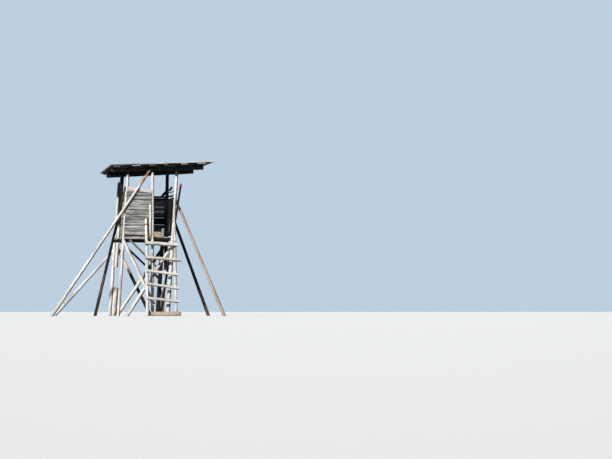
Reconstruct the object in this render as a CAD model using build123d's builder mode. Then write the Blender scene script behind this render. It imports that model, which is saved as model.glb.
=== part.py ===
"""Weathered wooden hunting tower stand: a boarded cabin on leaning pole legs, propped by long
struts, with a ladder in front and a board roof that rises to the right.

Sizes are in millimetres. X runs to the right along the ladder side, Y away from the ladder
side, Z up. The origin is on the ground, under the middle of the whole.
"""
from build123d import *
from collections import namedtuple
from math import cos, radians, sin, tan
import os

os.makedirs("parts", exist_ok=True)

# Joinery
bed = 5            # depth of the flat that each round log gets where another piece bears on it
board = 22         # thickness of wall boards
board_gap = 3      # open joint between two wall boards
ground_spare = 150  # length of log below the ground line, sawn off level

# Plan of the cabin and heights of its parts
depth = 1200             # from the front posts to the rear posts
deck_top = 1990
deck_thickness = 24
deck_boards = 6
deck_gap = 7
deck_left = -533
deck_right = 572
deck_front = 22
deck_rear_inset = 24     # floor boards stop short of the middle of the rear posts
deck_leg_gap = 2         # open joint round the leg in the corner
beam_radius = 42
beam_face = 10           # flat face of beams and rafters, behind the middle of the front posts

# Roof
roof_left = -975
roof_right = 1625
roof_front = -400
roof_rear = 1950
roof_left_height = 3745
roof_pitch = 3.4
roof_board = 30          # thickness of each of the two layers
top_layer_boards = 11
top_layer_gap = 4
top_layer_step = 14      # each board of the top layer ends this much short of the one in front
under_layer_middles = (-812, -341, 58, 397, 864, 1295)
under_layer_widths = (173, 224, 175, 100, 171, 229)
rafter_left = -905
front_rafter_right = 1417
front_rafter_left_radius = 49
front_rafter_right_radius = 63
rear_rafter_right = 1346
rear_rafter_left_radius = 78
rear_rafter_right_radius = 63

# Legs and posts: lean is the drift to the right for each unit of height
front_left_foot = -720
front_left_lean = 0.0627
front_left_butt = 42
front_left_tip = 36
front_right_foot = 524
front_right_lean = 0.0576
front_right_butt = 54
front_right_tip = 40
door_post_foot = 133
door_post_lean = -0.0038
door_post_forward = 18
door_post_butt = 38
door_post_tip = 36
rear_left_foot = -785
rear_left_lean = 0.0610
rear_left_leg_top = 3475
rear_left_leg_point = 70
rear_left_butt = 48
rear_left_tip = 32
rear_left_post_radius = 50
rear_left_post_bottom = 1250
rear_right_foot = 447
rear_right_lean = 0.0605
rear_right_leg_top = 2280
rear_right_leg_dome = 26
rear_right_butt = 60
rear_right_tip = 48
rear_right_post_bottom = 1190
rear_right_post_bottom_x = 650
rear_right_post_lean = 0.0135
rear_right_post_butt = 48
rear_right_post_tip = 44
head_below_roof = 35

# Anchor stubs beside the rear legs
left_stub_top = 735
left_stub_radius = 70
left_stub_dome = 8
right_stub_top = 690
right_stub_radius = 56
right_stub_dome = 20
stub_taper = 3

# Walls
sill_height = 72
wall_above_deck = 32
front_wall_boards = (150, 75, 148, 132, 122, 127, 107, 172, 150)
front_wall_top = 3225        # at its left end
front_wall_slope = 6.0       # degrees that its top edge drops to the right
left_wall_boards = (150, 145, 150, 150, 145, 150, 170)
right_wall_low_boards = (150, 150)
right_wall_high_boards = (145, 150, 150, 145, 60)
rear_wall_above_deck = 60
rear_wall_boards = (122, 177, 172, 152, 119, 222, 50)
rear_wall_gap = 7
front_board_lap = 10         # front boards reach past the middle of the corner leg
door_post_rebate = 12        # front boards stop short of the middle of the door post
side_wall_lap = 27           # side boards reach past the middle of the corner posts
rear_board_left_lap = 30
rear_board_right_lap = 40
right_wall_shortening = 52   # low boards stop short of the leg in the corner

# Props and braces
left_strut_foot = -2368
left_strut_butt = 44
left_strut_head_x = 62
left_strut_below_roof = 68
left_strut_tip = 33
left_strut_bearing = 2720      # height of the front board that the strut bears on
side_strut_foot_x = -1257
side_strut_foot_y = 350
side_strut_height = 3150
side_strut_past = 80
side_strut_butt = 40
side_strut_tip = 28
left_rear_strut_foot = -2190
left_rear_strut_below_deck = 300
left_rear_strut_past = 5
left_rear_strut_butt = 42
left_rear_strut_tip = 33
right_strut_foot = 1980
right_strut_slope = 2.311      # rise for each unit of run, near the foot
right_strut_butt = 44
right_strut_height = 2990
right_strut_short = 70
right_strut_tip = 33
right_rear_strut_foot = 1800
right_rear_strut_head_x = 648
right_rear_strut_head = 3110
right_rear_strut_butt = 44
right_rear_strut_tip = 36
right_rear_strut_bearing = 2930    # height of the rear board that the strut bears on
side_prop_foot_x = 500
side_prop_foot_inset = 120     # foot stands this far in front of the rear posts
side_prop_height = 2600
side_prop_past = 780
side_prop_butt = 33
side_prop_tip = 24
front_down_brace_below_deck = 120   # at its left end
front_down_brace_right = 330
front_up_brace_left = 980
front_up_brace_below_deck = 240     # at its right end
front_up_brace_past_left = 1180
rear_up_brace_foot_x = -620
rear_up_brace_foot_inset = 110
rear_up_brace_below_deck = 250
rear_down_brace_left = 1990
rear_down_brace_right = 955
rear_low_brace_foot = 278
rear_low_brace_below_deck = 205
middle_brace_beam_x = -400
middle_brace_drop = 60
middle_brace_below = 520     # it laps the leg this far under the rising brace
middle_brace_past = 90
brace_radius = 42
light_brace_radius = 30
thin_brace_radius = 24
brace_swell = 3          # how much thicker the butt of a brace is than its tip
brace_past = 55
brace_end_past = 28

# Beams
front_beam_left = -660
front_beam_right = 700
rear_beam_left = -715
rear_beam_right = 715
beam_taper = 3
beam_side_flat = 8
notch_clearance = 6

# Ladder
ladder_foot_y = -325
left_rail_x = -35
right_rail_x = 682
left_rail_top = 2434
right_rail_top = 2535
left_rail_drift = -10
left_rail_radius = 43
left_rail_dome = 18
right_rail_radius = 34
rail_taper = 3
rung_radii = (50, 40, 40, 38, 38)
rung_taper = 3
rung_left_heights = (1820, 1457, 1126, 798, 448)
rung_drops = (41, 53, 87, 99, 81)
rung_left_ends = (-92, -78, -60, -50, -45)
rung_right_ends = (725, 828, 742, 751, 745)
foot_plank_height = 110
foot_plank_thickness = 30
foot_plank_left = 40
foot_plank_right = 800

Pole = namedtuple("Pole", "foot head butt tip")
Plank = namedtuple("Plank", "plane length height thickness")


def roof_under(x):
    """Height of the underside of the roof boards over a point."""
    return roof_left_height + (x - roof_left) * tan(radians(roof_pitch)) - 2 * roof_board


# The origin lies midway between the feet of the two widest struts and under the middle of the
# roof from front to back.
left_strut_head = roof_under(left_strut_head_x) - left_strut_below_roof
left_strut_slope = left_strut_head / (left_strut_head_x - left_strut_foot)
left_reach = left_strut_foot - left_strut_butt * (1 + left_strut_slope ** -2) ** 0.5
right_reach = right_strut_foot + right_strut_butt * (1 + right_strut_slope ** -2) ** 0.5
middle_x = (left_reach + right_reach) / 2
middle_y = (roof_front + roof_rear) / 2

front = Vector(0, -1, 0)
rear = Vector(0, 1, 0)
left = Vector(-1, 0, 0)
right = Vector(1, 0, 0)
up = Vector(0, 0, 1)


def at(x, y, z):
    """A point given from the front post line, in the frame of the whole."""
    return Vector(x - middle_x, y - middle_y, z)


def pole_at(pole, height):
    """The point of a pole's axis at a height."""
    share = (height - pole.foot.Z) / (pole.head.Z - pole.foot.Z)
    return pole.foot + (pole.head - pole.foot) * share


def girth_at(pole, height):
    """The radius of a pole at a height."""
    share = (height - pole.foot.Z) / (pole.head.Z - pole.foot.Z)
    return pole.butt + (pole.tip - pole.butt) * share


def leaning(foot_x, y, bottom, top, lean, butt, tip):
    """A pole that leans to the right, given by its place at ground level."""
    return Pole(at(foot_x + lean * bottom, y, bottom), at(foot_x + lean * top, y, top), butt, tip)


def log(pole, spare=0, dome=0, point=0):
    """Turn a tapered log about its axis, with its head flat, domed or hewn to a point."""
    run = pole.head - pole.foot
    span = run.length
    along = run.normalized()
    level = up.cross(along) if abs(along.Z) < 1 else rear
    side = along.cross(level).normalized()
    half = Plane(origin=pole.foot, x_dir=side, z_dir=side.cross(along))
    butt = pole.butt + (pole.butt - pole.tip) * spare / span
    with BuildSketch(half) as profile:
        with BuildLine():
            Polyline((0, span), (0, -spare), (butt, -spare), (pole.tip, span - dome - point))
            if dome:
                crown = (pole.tip ** 2 + dome ** 2) / (2 * dome)
                half_tip = pole.tip / 2
                rise = (crown ** 2 - half_tip ** 2) ** 0.5 - crown
                ThreePointArc((pole.tip, span - dome), (half_tip, span + rise), (0, span))
            elif point:
                Line((pole.tip, span - point), (0, span))
            else:
                Line((pole.tip, span), (0, span))
        make_face()
    revolve(profile.sketch, axis=Axis(pole.foot, along))


def nearest(first, second):
    """The points of two pole axes that lie nearest to each other."""
    u = (first.head - first.foot).normalized()
    v = (second.head - second.foot).normalized()
    w = first.foot - second.foot
    b = u.dot(v)
    spread = 1 - b * b
    s = (b * v.dot(w) - u.dot(w)) / spread
    t = (v.dot(w) - b * u.dot(w)) / spread
    return first.foot + u * s, second.foot + v * t, spread ** 0.5


def girth_near(pole, point):
    """The radius of a pole beside a point of its axis."""
    run = pole.head - pole.foot
    share = (point - pole.foot).dot(run) / run.dot(run)
    return pole.butt + (pole.tip - pole.butt) * share


def lap_flat(first, second):
    """Middle, normal and half width of the flat where two crossing poles meet."""
    near_first, near_second, angle = nearest(first, second)
    normal = (near_second - near_first).normalized()
    thick = girth_near(first, near_first)
    reach = 1.2 * (thick + girth_near(second, near_second)) / angle
    return near_first + normal * (thick - bed), normal, reach


def hew(pole, middle, normal, reach):
    """Take the wood of a log beyond a flat, over a length of log."""
    along = (pole.head - pole.foot).normalized()
    across = normal.cross(along)
    with BuildSketch(Plane(origin=middle, x_dir=across.cross(normal), z_dir=normal)) as patch:
        Rectangle(2 * reach, 4 * max(pole.butt, pole.tip))
    extrude(patch.sketch, amount=2 * max(pole.butt, pole.tip), mode=Mode.SUBTRACT)


def lay(plank):
    """Add a board."""
    with BuildSketch(plank.plane) as face:
        Rectangle(plank.length, plank.height)
    extrude(face.sketch, amount=plank.thickness)


def rebate(plank, spare):
    """Cut the bed of a board out of a log, a little higher than the board."""
    with BuildSketch(plank.plane) as face:
        Rectangle(plank.length, plank.height + 2 * spare)
    extrude(face.sketch, amount=plank.thickness, mode=Mode.SUBTRACT)


def trim_to_ground(pole):
    """Saw the foot level with the ground."""
    low = min(pole.foot, pole.head, key=lambda end: end.Z)
    split(bisect_by=Plane(origin=(low.X, low.Y, 0), z_dir=(0, 0, 1)), keep=Keep.TOP)


# Poles of the front and rear frames
def front_head(foot_x, lean):
    """Height of the head of a front post, just under the roof boards."""
    return roof_under(foot_x + lean * roof_left_height) - head_below_roof


poles = {}
poles["leg_front_left"] = leaning(
    front_left_foot, 0, 0, front_head(front_left_foot, front_left_lean), front_left_lean,
    front_left_butt, front_left_tip)
poles["door_post"] = leaning(
    door_post_foot, -door_post_forward, 0, front_head(door_post_foot, door_post_lean),
    door_post_lean, door_post_butt, door_post_tip)
poles["leg_front_right"] = leaning(
    front_right_foot, 0, 0, front_head(front_right_foot, front_right_lean),
    front_right_lean, front_right_butt, front_right_tip)
poles["leg_rear_left"] = leaning(
    rear_left_foot, depth, 0, rear_left_leg_top, rear_left_lean, rear_left_butt, rear_left_tip)
post_x = rear_left_foot + rear_left_tip + rear_left_post_radius - 2 * bed
poles["post_rear_left"] = leaning(
    post_x, depth, rear_left_post_bottom, front_head(post_x, rear_left_lean), rear_left_lean,
    rear_left_post_radius, rear_left_post_radius)
poles["leg_rear_right"] = leaning(
    rear_right_foot, depth, 0, rear_right_leg_top, rear_right_lean,
    rear_right_butt, rear_right_tip)
post_x = rear_right_post_bottom_x - rear_right_post_lean * rear_right_post_bottom
poles["post_rear_right"] = leaning(
    post_x, depth, rear_right_post_bottom, front_head(post_x, rear_right_post_lean),
    rear_right_post_lean, rear_right_post_butt, rear_right_post_tip)


def beside(post, height, side, radius):
    """Axis point of a pole that laps a post, on a side given as a unit vector."""
    return pole_at(post, height) + side * (girth_at(post, height) + radius - 2 * bed)


def through(start, end, past_start, past_end, butt, tip):
    """A pole through two points that runs on past both."""
    along = (end - start).normalized()
    return Pole(start - along * past_start, end + along * past_end, butt, tip)


def boarding(start_post, end_post, facing, heights, bottom, gap, before, after, end_bed=bed):
    """Boards nailed across two posts, from the lowest up, on the side given by facing."""
    planks = []
    low = bottom
    for height in heights:
        middle = low + height / 2
        start = pole_at(start_post, middle) + facing * (girth_at(start_post, middle) - bed)
        end = pole_at(end_post, middle) + facing * (girth_at(end_post, middle) - end_bed)
        along = (end - start).normalized()
        upright = (start_post.head - start_post.foot).normalized()
        upright += (end_post.head - end_post.foot).normalized()
        normal = along.cross(upright).normalized()
        if normal.dot(facing) < 0:
            normal = normal * -1
        start -= along * before
        end += along * after
        plane = Plane(origin=(start + end) * 0.5, x_dir=along, z_dir=normal)
        planks.append(Plank(plane, (end - start).length, height, board))
        low += height + gap
    return planks


wall_bottom = deck_top + wall_above_deck
front_boards = boarding(
    poles["leg_front_left"], poles["door_post"], front, front_wall_boards, wall_bottom,
    board_gap, front_board_lap, -door_post_rebate, board)
sill_boards = boarding(
    poles["leg_front_left"], poles["door_post"], front, (sill_height,),
    deck_top - sill_height, board_gap, front_board_lap, -door_post_rebate, board)
left_boards = boarding(
    poles["leg_front_left"], poles["post_rear_left"], right, left_wall_boards, wall_bottom,
    board_gap, side_wall_lap, side_wall_lap)
right_low_boards = boarding(
    poles["leg_front_right"], poles["post_rear_right"], left, right_wall_low_boards, wall_bottom,
    board_gap, side_wall_lap, -right_wall_shortening)
right_high_boards = boarding(
    poles["leg_front_right"], poles["post_rear_right"], left, right_wall_high_boards,
    wall_bottom + sum(right_wall_low_boards) + len(right_wall_low_boards) * board_gap,
    board_gap, side_wall_lap, side_wall_lap)
right_boards = right_low_boards + right_high_boards
rear_boards = boarding(
    poles["post_rear_left"], poles["post_rear_right"], rear, rear_wall_boards,
    deck_top + rear_wall_above_deck, rear_wall_gap, rear_board_left_lap, rear_board_right_lap)


def board_face(post, height):
    """How far the outer face of wall boards stands off a post's axis."""
    return girth_at(post, height) - bed + board


def board_level_with(planks, height):
    """The plane of the board that lies nearest to a height."""
    return min((plank.plane for plank in planks), key=lambda plane: abs(plane.origin.Z - height))


# Rafters, with their upper side in the plane under the roof boards
roof_normal = Vector(-sin(radians(roof_pitch)), 0, cos(radians(roof_pitch)))


def rafter(side, face, right_end, left_radius, right_radius):
    """A rafter behind the flat face where the posts lap it; side points away from the posts."""
    ends = []
    for x, radius in ((rafter_left, left_radius), (right_end, right_radius)):
        top = at(x, face, roof_under(x)) - roof_normal * (radius - bed)
        ends.append(top + side * (radius - beam_side_flat))
    return Pole(ends[0], ends[1], left_radius, right_radius)


poles["rafter_front"] = rafter(
    rear, beam_face, front_rafter_right, front_rafter_left_radius, front_rafter_right_radius)
poles["rafter_rear"] = rafter(
    front, depth - beam_face, rear_rafter_right, rear_rafter_left_radius,
    rear_rafter_right_radius)

# Floor beams, with their upper side under the floor boards
beam_height = deck_top - deck_thickness + bed - beam_radius
poles["floor_beam_front"] = Pole(
    at(front_beam_right, beam_face + beam_radius - beam_side_flat, beam_height),
    at(front_beam_left, beam_face + beam_radius - beam_side_flat, beam_height),
    beam_radius, beam_radius - beam_taper)
poles["floor_beam_rear"] = Pole(
    at(rear_beam_right, depth - beam_face - beam_radius + beam_side_flat, beam_height),
    at(rear_beam_left, depth - beam_face - beam_radius + beam_side_flat, beam_height),
    beam_radius, beam_radius - beam_taper)

# Anchor stubs, parallel to the legs that they hold
left_stub_offset = rear_left_butt + left_stub_radius - 2 * bed
right_stub_offset = rear_right_butt + right_stub_radius - 2 * bed
poles["stub_rear_left"] = leaning(
    rear_left_foot + left_stub_offset, depth, 0, left_stub_top, rear_left_lean,
    left_stub_radius, left_stub_radius - stub_taper)
poles["stub_rear_right"] = leaning(
    rear_right_foot + right_stub_offset, depth, 0, right_stub_top, rear_right_lean,
    right_stub_radius, right_stub_radius - stub_taper)

# Struts
front_bearing = board_level_with(front_boards, left_strut_bearing)
strut_face = board_face(poles["leg_front_left"], front_bearing.origin.Z)
strut_y = -strut_face - left_strut_tip + bed
poles["strut_left_front"] = Pole(
    at(left_strut_foot, strut_y - left_strut_butt + left_strut_tip, 0),
    at(left_strut_head_x, strut_y, left_strut_head),
    left_strut_butt, left_strut_tip)
poles["strut_left_middle"] = through(
    at(side_strut_foot_x, side_strut_foot_y, 0),
    beside(poles["leg_front_left"], side_strut_height, left, side_strut_tip),
    0, side_strut_past, side_strut_butt, side_strut_tip)
strut_top = beside(
    poles["leg_rear_left"], deck_top - left_rear_strut_below_deck, rear, left_rear_strut_tip)
poles["strut_left_rear"] = through(
    Vector(left_rear_strut_foot - middle_x, strut_top.Y, 0), strut_top,
    0, left_rear_strut_past, left_rear_strut_butt, left_rear_strut_tip)
strut_top = beside(poles["leg_front_right"], right_strut_height, rear, right_strut_tip)
poles["strut_right_front"] = through(
    Vector(right_strut_foot - middle_x, strut_top.Y, 0), strut_top,
    0, -right_strut_short, right_strut_butt, right_strut_tip)
rear_bearing = board_level_with(rear_boards, right_rear_strut_bearing)
rear_face = board_face(poles["post_rear_right"], rear_bearing.origin.Z)
poles["strut_right_rear"] = Pole(
    at(right_rear_strut_foot, depth + rear_face + right_rear_strut_butt - bed, 0),
    at(right_rear_strut_head_x, depth + rear_face + right_rear_strut_tip - bed,
       right_rear_strut_head),
    right_rear_strut_butt, right_rear_strut_tip)
poles["brace_right_side"] = through(
    at(side_prop_foot_x, depth - side_prop_foot_inset, 0),
    beside(poles["leg_front_right"], side_prop_height, right, side_prop_tip),
    0, side_prop_past, side_prop_butt, side_prop_tip)

# Braces between the legs
poles["brace_front_falling"] = through(
    beside(poles["door_post"], front_down_brace_right, front, brace_radius),
    beside(poles["leg_front_left"], deck_top - front_down_brace_below_deck, front,
           brace_radius),
    brace_past, brace_end_past, brace_radius + brace_swell, brace_radius)
poles["brace_front_rising"] = through(
    beside(poles["door_post"], front_up_brace_left, rear, brace_radius),
    beside(poles["leg_front_right"], deck_top - front_up_brace_below_deck, rear,
           brace_radius),
    front_up_brace_past_left, brace_past, brace_radius + brace_swell, brace_radius)
rear_up_brace_height = deck_top - rear_up_brace_below_deck
poles["brace_rear_rising"] = through(
    at(rear_up_brace_foot_x, depth - rear_up_brace_foot_inset, 0),
    beside(poles["leg_rear_right"], rear_up_brace_height, front, brace_radius),
    0, brace_past, brace_radius + brace_swell, brace_radius)
poles["brace_rear_falling"] = through(
    beside(poles["leg_rear_right"], rear_down_brace_right, rear, light_brace_radius),
    beside(poles["post_rear_left"], rear_down_brace_left, rear, light_brace_radius),
    brace_past, brace_end_past, light_brace_radius, light_brace_radius - brace_swell)
brace_top = beside(
    poles["post_rear_left"], deck_top - rear_low_brace_below_deck, rear, brace_radius)
poles["brace_rear_low"] = through(
    Vector(rear_low_brace_foot - middle_x, brace_top.Y, 0), brace_top,
    0, brace_end_past, brace_radius, brace_radius - brace_swell)
beam_point = at(
    middle_brace_beam_x, beam_face + beam_radius - beam_side_flat,
    beam_height - middle_brace_drop)
middle_brace_height = rear_up_brace_height - middle_brace_below
plan_run = pole_at(poles["leg_rear_right"], middle_brace_height) - beam_point
plan_side = Vector(-plan_run.Y, plan_run.X, 0).normalized()
poles["brace_middle"] = through(
    beside(poles["leg_rear_right"], middle_brace_height, plan_side, thin_brace_radius),
    beam_point, brace_past, middle_brace_past, thin_brace_radius + brace_swell,
    thin_brace_radius)

# Ladder
rail_face = board_face(poles["leg_front_left"], left_rail_top)
poles["ladder_rail_left"] = Pole(
    at(left_rail_x, ladder_foot_y, 0),
    at(left_rail_x + left_rail_drift, bed - rail_face - left_rail_radius, left_rail_top),
    left_rail_radius, left_rail_radius - rail_taper)
right_rail_head = beside(poles["leg_front_right"], right_rail_top, front, right_rail_radius)
poles["ladder_rail_right"] = Pole(
    at(right_rail_x, ladder_foot_y - left_rail_radius + right_rail_radius, 0),
    right_rail_head, right_rail_radius, right_rail_radius - rail_taper)
rungs = []
for number, low in enumerate(rung_left_heights):
    rung_radius = rung_radii[number]
    starts = beside(poles["ladder_rail_left"], low, front, rung_radius)
    ends = beside(poles["ladder_rail_right"], low - rung_drops[number], front, rung_radius)
    along = (ends - starts).normalized()
    past_left = starts.X + middle_x - rung_left_ends[number]
    past_right = rung_right_ends[number] - ends.X - middle_x
    name = f"rung_{number + 1}"
    poles[name] = through(
        starts, ends, past_left, past_right, rung_radius, rung_radius - rung_taper)
    rungs.append(name)

# Flats where two crossing poles are nailed together
laps = [
    ("leg_front_left", "brace_front_falling"),
    ("door_post", "brace_front_falling"),
    ("door_post", "brace_front_rising"),
    ("leg_front_right", "brace_front_rising"),
    ("leg_rear_right", "brace_rear_rising"),
    ("post_rear_left", "brace_rear_falling"),
    ("leg_rear_right", "brace_rear_falling"),
    ("post_rear_left", "brace_rear_low"),
    ("leg_rear_left", "strut_left_rear"),
    ("leg_front_left", "strut_left_middle"),
    ("leg_front_right", "strut_right_front"),
    ("leg_front_right", "brace_right_side"),
    ("leg_rear_right", "brace_middle"),
    ("floor_beam_front", "brace_middle"),
    ("leg_front_right", "ladder_rail_right"),
]
for name in rungs:
    laps.append(("ladder_rail_left", name))
    laps.append(("ladder_rail_right", name))

flats = {name: [] for name in poles}
for first, second in laps:
    middle, normal, reach = lap_flat(poles[first], poles[second])
    flats[first].append((middle, normal, reach))
    flats[second].append((middle, normal * -1, reach))


def share_flat(first, second, height, distance, reach):
    """One flat along two poles that stand side by side."""
    along = (poles[first].head - poles[first].foot).normalized()
    normal = (right - along * right.dot(along)).normalized()
    middle = pole_at(poles[first], height) + normal * distance
    flats[first].append((middle, normal, reach))
    flats[second].append((middle, normal * -1, reach))


share_flat(
    "leg_rear_left", "post_rear_left", (rear_left_post_bottom + roof_left_height) / 2,
    rear_left_tip - bed, (roof_left_height - rear_left_post_bottom) / 2)
share_flat(
    "leg_rear_left", "stub_rear_left", left_stub_top / 2, rear_left_butt - bed,
    left_stub_top / 2 + ground_spare)
share_flat(
    "leg_rear_right", "stub_rear_right", right_stub_top / 2, rear_right_butt - bed,
    right_stub_top / 2 + ground_spare)
share_flat(
    "leg_rear_right", "post_rear_right", (deck_top + rear_right_leg_top) / 2,
    rear_right_tip - bed, rear_right_leg_top - deck_top)

# Beams and rafters are hewn flat towards the posts and under the boards that they carry
for name, face_y in (
    ("rafter_front", beam_face),
    ("floor_beam_front", beam_face),
    ("rafter_rear", depth - beam_face),
    ("floor_beam_rear", depth - beam_face),
):
    half_way = (poles[name].foot + poles[name].head) * 0.5
    span = (poles[name].head - poles[name].foot).length
    flat_side = front if "front" in name else rear
    flats[name].append((Vector(half_way.X, face_y - middle_y, half_way.Z), flat_side, span))
    if name.startswith("rafter"):
        under = Vector(half_way.X, half_way.Y, roof_under(half_way.X + middle_x))
        flats[name].append((under, roof_normal, span))
    else:
        under = Vector(half_way.X, half_way.Y, deck_top - deck_thickness)
        flats[name].append((under, up, span))

# Notches where the posts lap the flat faces of the beams and rafters
beam_reach = beam_radius + notch_clearance
for name in ("leg_front_left", "door_post", "leg_front_right"):
    crossing = pole_at(poles[name], beam_height)
    face = Vector(crossing.X, beam_face - middle_y, crossing.Z)
    flats[name].append((face, rear, beam_reach))
    head = poles[name].head
    seat = 2 * front_rafter_right_radius + notch_clearance
    flats[name].append((Vector(head.X, beam_face - middle_y, head.Z), rear, seat))
for name in ("leg_rear_left", "post_rear_left", "leg_rear_right", "post_rear_right"):
    crossing = pole_at(poles[name], beam_height)
    face = Vector(crossing.X, depth - beam_face - middle_y, crossing.Z)
    flats[name].append((face, front, beam_reach))
for name in ("post_rear_left", "post_rear_right"):
    head = poles[name].head
    seat = 2 * rear_rafter_left_radius + notch_clearance
    flats[name].append((Vector(head.X, depth - beam_face - middle_y, head.Z), front, seat))

# Flats against the outer faces of boards
for name, bearing in (
    ("strut_left_front", front_bearing),
    ("strut_right_rear", rear_bearing),
):
    crossing = pole_at(poles[name], bearing.origin.Z)
    outward = bearing.z_dir
    clear = board - (crossing - bearing.origin).dot(outward)
    flats[name].append((crossing + outward * clear, outward * -1, depth / 2))
flats["ladder_rail_left"].append(
    (at(left_rail_x, -rail_face, left_rail_top), rear, left_rail_top - deck_top))
plank_back = ladder_foot_y - left_rail_radius + bed
for name, x in (("ladder_rail_left", left_rail_x), ("ladder_rail_right", right_rail_x)):
    flats[name].append((at(x, plank_back, 0), front, foot_plank_height + notch_clearance))

# Boards that are let into the posts
bedded = {
    "leg_front_left": front_boards + sill_boards + left_boards,
    "door_post": front_boards + sill_boards,
    "post_rear_left": left_boards + rear_boards,
    "post_rear_right": right_boards + rear_boards,
    "leg_front_right": right_boards,
    "leg_rear_right": rear_boards,
}

heads = {
    "leg_rear_left": {"point": rear_left_leg_point},
    "leg_rear_right": {"dome": rear_right_leg_dome},
    "stub_rear_right": {"dome": right_stub_dome},
    "stub_rear_left": {"dome": left_stub_dome},
    "ladder_rail_left": {"dome": left_rail_dome},
    "brace_right_side": {"point": side_prop_tip},
}
on_ground = [name for name, pole in poles.items() if min(pole.foot.Z, pole.head.Z) < bed]

for name, pole in poles.items():
    with BuildPart() as piece:
        log(pole, ground_spare if name in on_ground else 0, **heads.get(name, {}))
        if name in on_ground:
            trim_to_ground(pole)
        for middle, normal, reach in flats[name]:
            hew(pole, middle, normal, reach)
        for plank in bedded.get(name, ()):
            rebate(plank, board_gap if plank not in rear_boards else rear_wall_gap)
    piece.part.label = name
    export_step(piece.part, f"parts/{name}.step")

# Walls
with BuildPart() as wall_front:
    for plank in front_boards:
        lay(plank)
    top_left = at(front_left_foot + front_left_lean * front_wall_top, 0, front_wall_top)
    slope = radians(front_wall_slope)
    split(bisect_by=Plane(origin=top_left, z_dir=(sin(slope), 0, cos(slope))), keep=Keep.BOTTOM)
wall_front.part.label = "wall_front"
export_step(wall_front.part, "parts/wall_front.step")

with BuildPart() as sill:
    for plank in sill_boards:
        lay(plank)
sill.part.label = "sill_board"
export_step(sill.part, "parts/sill_board.step")

with BuildPart() as wall_left:
    for plank in left_boards:
        lay(plank)
wall_left.part.label = "wall_left"
export_step(wall_left.part, "parts/wall_left.step")

with BuildPart() as wall_right:
    for plank in right_boards:
        lay(plank)
wall_right.part.label = "wall_right"
export_step(wall_right.part, "parts/wall_right.step")

with BuildPart() as wall_rear:
    for plank in rear_boards:
        lay(plank)
wall_rear.part.label = "wall_rear"
export_step(wall_rear.part, "parts/wall_rear.step")

# Floor boards, scribed round the leg in the corner
deck_rear = depth - deck_rear_inset
deck_pitch = (deck_right - deck_left + deck_gap) / deck_boards
with BuildPart() as floor_boards:
    for number in range(deck_boards):
        middle = deck_left + (number + 0.5) * deck_pitch - deck_gap / 2
        plane = Plane(
            origin=at(middle, (deck_front + deck_rear) / 2, deck_top - deck_thickness),
            x_dir=(0, 1, 0), z_dir=(0, 0, 1))
        lay(Plank(plane, deck_rear - deck_front, deck_pitch - deck_gap, deck_thickness))
    leg = poles["leg_rear_right"]
    foot = pole_at(leg, deck_top - 2 * deck_thickness)
    head = pole_at(leg, deck_top + deck_thickness)
    with BuildSketch(Plane(origin=foot, z_dir=head - foot)) as opening:
        Circle(girth_at(leg, deck_top) + deck_leg_gap)
    extrude(opening.sketch, amount=(head - foot).length, mode=Mode.SUBTRACT)
floor_boards.part.label = "floor_boards"
export_step(floor_boards.part, "parts/floor_boards.step")

# Roof: spaced boards from front to rear below, close boards along the rafters on top, which end
# on a slant at the right
with BuildPart() as roof_boards_under:
    for x, width in zip(under_layer_middles, under_layer_widths):
        plane = Plane(origin=at(x, middle_y, roof_under(x)), x_dir=rear, z_dir=roof_normal)
        lay(Plank(plane, roof_rear - roof_front, width, roof_board))
roof_boards_under.part.label = "roof_boards_under"
export_step(roof_boards_under.part, "parts/roof_boards_under.step")

top_pitch = (roof_rear - roof_front) / top_layer_boards
with BuildPart() as roof_boards_top:
    for number in range(top_layer_boards):
        right_end = roof_right - number * top_layer_step
        x = (roof_left + right_end) / 2
        y = roof_front + (number + 0.5) * top_pitch
        plane = Plane(
            origin=at(x, y, roof_under(x)) + roof_normal * roof_board,
            x_dir=rear.cross(roof_normal), z_dir=roof_normal)
        length = (right_end - roof_left) / cos(radians(roof_pitch))
        lay(Plank(plane, length, top_pitch - top_layer_gap, roof_board))
roof_boards_top.part.label = "roof_boards_top"
export_step(roof_boards_top.part, "parts/roof_boards_top.step")

# Plank at the foot of the ladder
with BuildPart() as foot_plank:
    plane = Plane(
        origin=at((foot_plank_left + foot_plank_right) / 2, plank_back, foot_plank_height / 2),
        x_dir=(1, 0, 0), z_dir=(0, -1, 0))
    lay(Plank(plane, foot_plank_right - foot_plank_left, foot_plank_height,
              foot_plank_thickness))
foot_plank.part.label = "foot_plank"
export_step(foot_plank.part, "parts/foot_plank.step")
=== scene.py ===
import math
import random

import bmesh
import bpy
import numpy as np
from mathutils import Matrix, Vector, noise
from mathutils.bvhtree import BVHTree


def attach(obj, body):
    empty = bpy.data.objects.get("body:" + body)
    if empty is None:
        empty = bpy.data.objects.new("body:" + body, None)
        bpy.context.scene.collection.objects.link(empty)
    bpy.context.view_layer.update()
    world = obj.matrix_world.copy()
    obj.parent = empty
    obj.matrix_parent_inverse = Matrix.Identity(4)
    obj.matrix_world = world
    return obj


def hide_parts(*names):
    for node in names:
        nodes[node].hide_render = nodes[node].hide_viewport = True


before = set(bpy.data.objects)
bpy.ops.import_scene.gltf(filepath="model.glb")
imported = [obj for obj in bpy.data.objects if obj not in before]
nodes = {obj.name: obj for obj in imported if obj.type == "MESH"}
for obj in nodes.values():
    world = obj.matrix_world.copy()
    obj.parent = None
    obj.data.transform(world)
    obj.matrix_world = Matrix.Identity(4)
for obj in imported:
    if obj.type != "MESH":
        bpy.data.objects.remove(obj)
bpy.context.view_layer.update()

TURN = 2 * math.pi      # once round

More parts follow.
